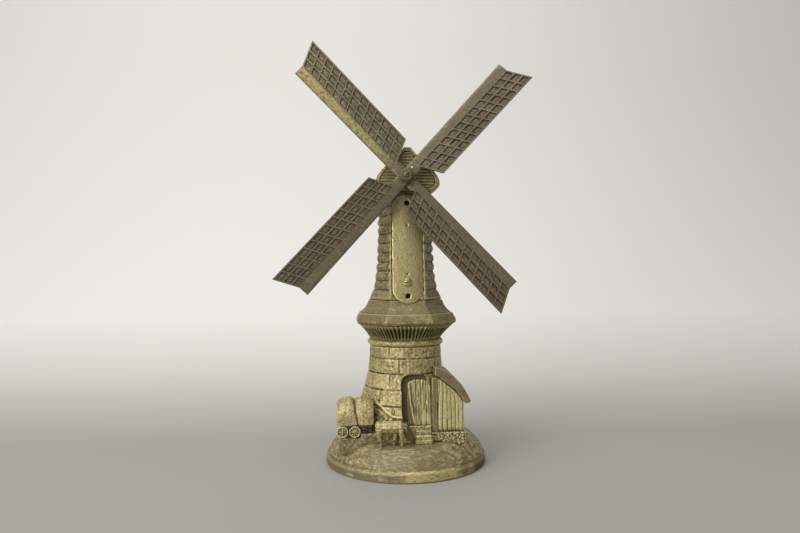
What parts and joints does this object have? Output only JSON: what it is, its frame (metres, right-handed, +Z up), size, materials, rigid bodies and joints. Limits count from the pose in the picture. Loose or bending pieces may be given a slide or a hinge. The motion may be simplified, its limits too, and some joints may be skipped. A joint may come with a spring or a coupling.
{
  "type": "windmill ornament",
  "caption": "Tabletop tower mill in gilt cast metal, with a latticed sail rotor that turns, a scale plate on the front, and a lean-to, wagon and horse on a round base.",
  "frame": {"origin": "centre of the base's underside, on the surface it stands on", "axes": "+Z up the tower, -Y out of the mill's front, +X to the right of someone facing the front"},
  "size_m": [0.2012, 0.13, 0.3332],
  "materials": {
    "worn_gilt": "cast and gilded, rubbed bright on the high points and dark in the hollows",
    "olive_patina": "cast, with a dull olive patina over the gilding",
    "brown_patina": "cast, with a brown patina and worn gilt edges",
    "bare_brass": "turned",
    "plain_steel": "plain"
  },
  "bodies": {
    "tower": {"base_plinth": "worn_gilt", "ground_bank": "worn_gilt", "lower_tower": "worn_gilt", "entrance_door": "worn_gilt", "door_steps": "worn_gilt", "shed_plinth": "worn_gilt", "shed_walls": "worn_gilt", "shed_corner_post": "olive_patina", "shed_roof": "olive_patina", "wagon_cover": "worn_gilt", "wagon_bed": "olive_patina", "wagon_front_wheel": "worn_gilt", "wagon_rear_wheel": "worn_gilt", "draught_horse": "worn_gilt", "bead_ring": "worn_gilt", "gallery_corbel": "olive_patina", "gallery_skirt": "olive_patina", "smock_tower": "olive_patina", "scale_plate": "worn_gilt", "plate_screw": "worn_gilt", "cap_hood": "olive_patina", "gable_boards": "worn_gilt", "shaft_bush": "bare_brass", "tie_rod": "plain_steel", "tie_washer": "plain_steel", "tie_nut": "plain_steel"},
    "rotor": {"front_sail_bar": "brown_patina", "rear_sail_bar": "brown_patina", "hub_boss": "brown_patina", "bar_rivet": "worn_gilt", "hub_spacer": "bare_brass", "spindle": "bare_brass", "retaining_collar": "bare_brass"}
  },
  "joints": [
    {"name": "sail_spin", "type": "hinge", "parent": "tower", "child": "rotor", "pos_m": [-0.0019, -0.0405, 0.2274], "axis": [0, -0.9969, 0.0785], "continuous": true}
  ]
}
